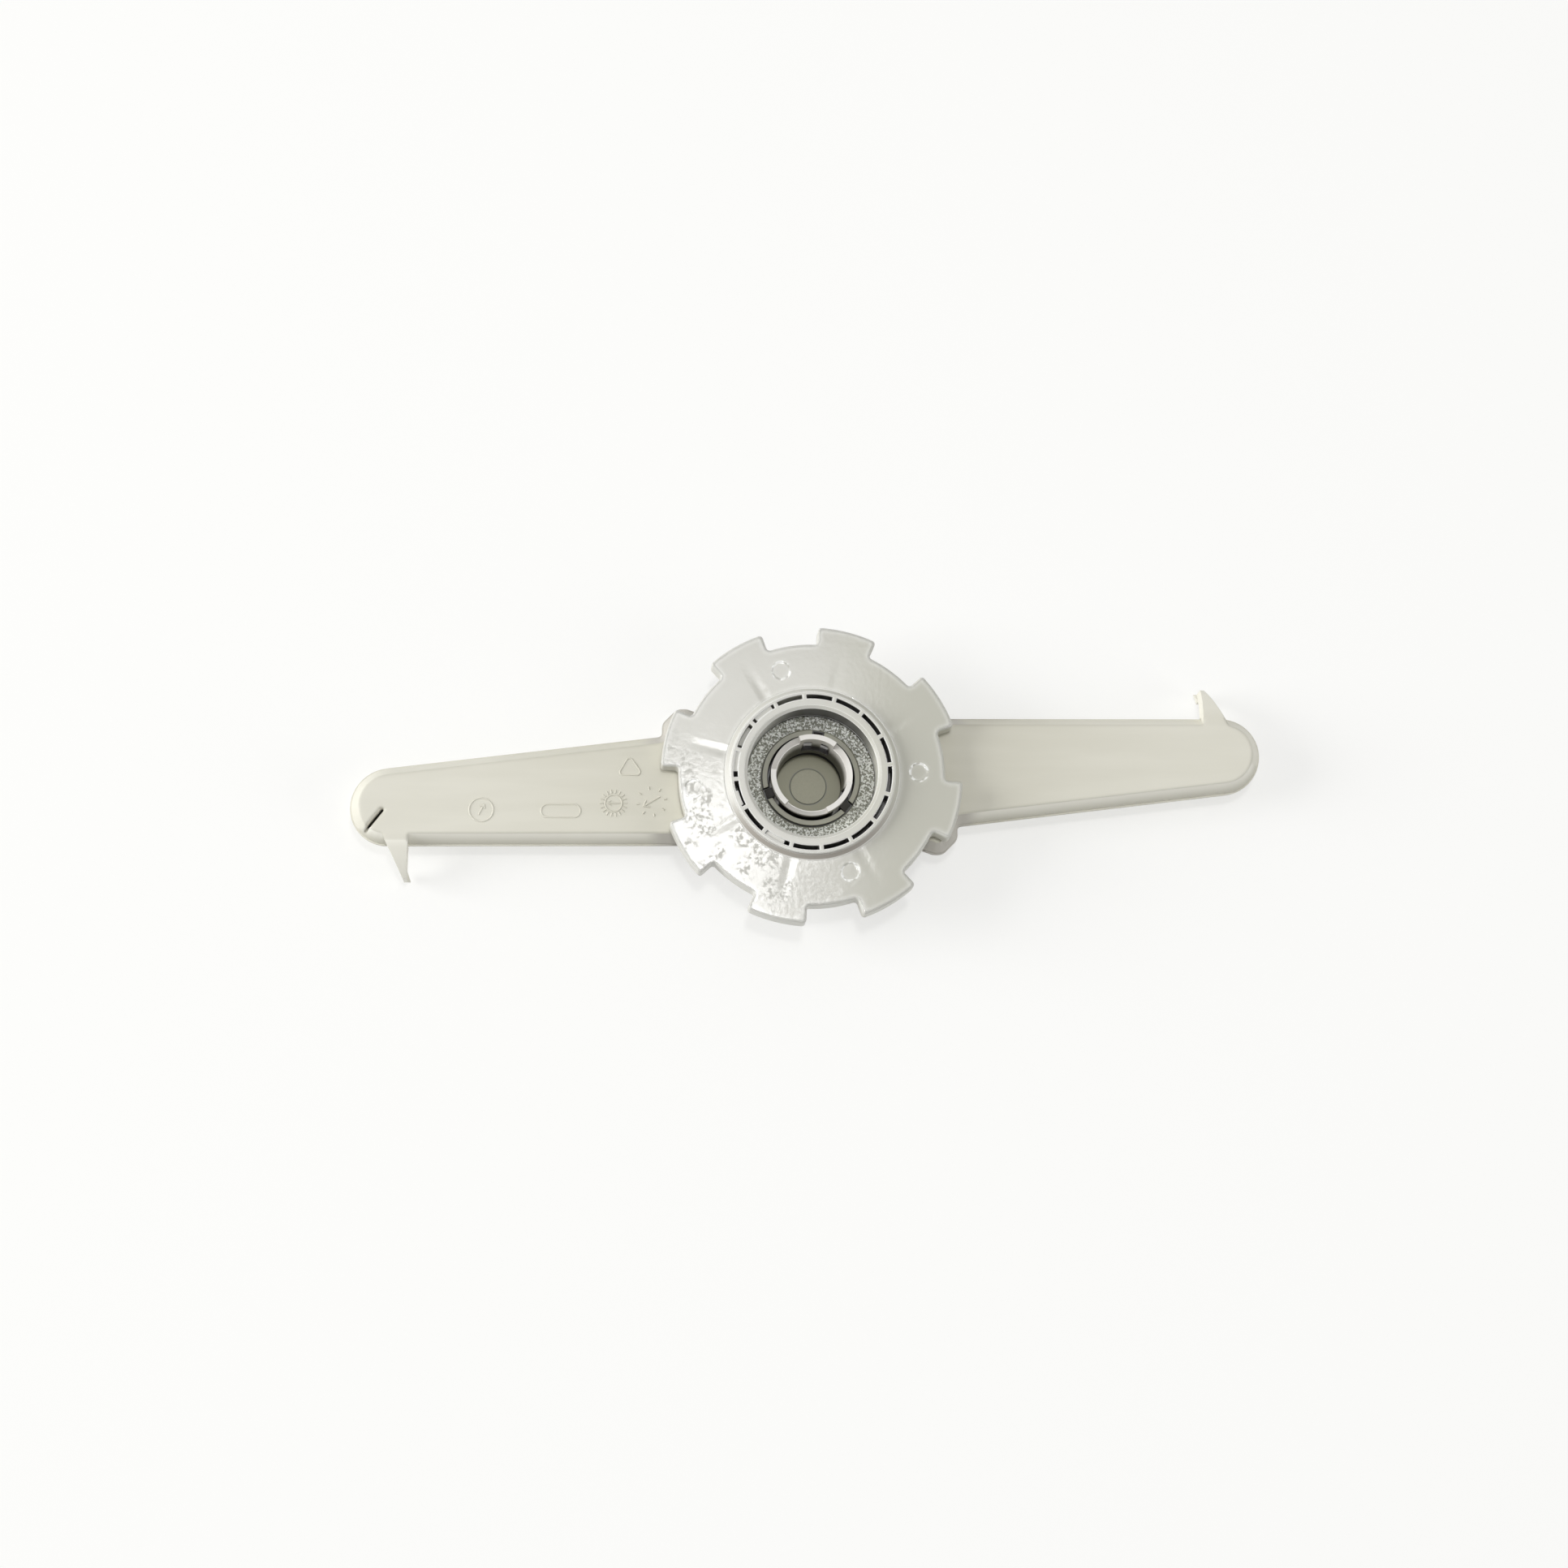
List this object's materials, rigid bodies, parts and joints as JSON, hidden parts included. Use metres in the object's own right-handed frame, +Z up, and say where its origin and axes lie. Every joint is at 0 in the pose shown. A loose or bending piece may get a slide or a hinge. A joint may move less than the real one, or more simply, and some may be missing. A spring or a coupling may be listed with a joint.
{
  "type": "dishwasher spray arm",
  "caption": "Two-winged plastic dishwasher spray arm that spins on a notched hub flange with a cored feed collar; slit jets, tip fins and a snap-in sleeve.",
  "frame": {"origin": "on the hub axis, in the plane of the lowest face (the nozzle side the arm rests on)", "axes": "+Z up along the hub axis towards the feed collar, +X along the arm"},
  "size_m": [0.2276, 0.0744, 0.0197],
  "materials": {
    "hub_plastic": "glossy light grey with a fine orange-peel mould texture, satin on the collar",
    "sleeve_plastic": "smooth satin light grey",
    "arm_plastic": "matte greenish grey, talc filled"
  },
  "bodies": {
    "hub": {"hub_flange": "hub_plastic"},
    "arm": {"feed_shell": "arm_plastic", "nozzle_shell": "arm_plastic", "snap_sleeve": "sleeve_plastic"}
  },
  "joints": [
    {"name": "arm_spin", "type": "hinge", "parent": "hub", "child": "arm", "pos_m": [0, 0, 0.009], "axis": [0, 0, 1], "continuous": true}
  ]
}
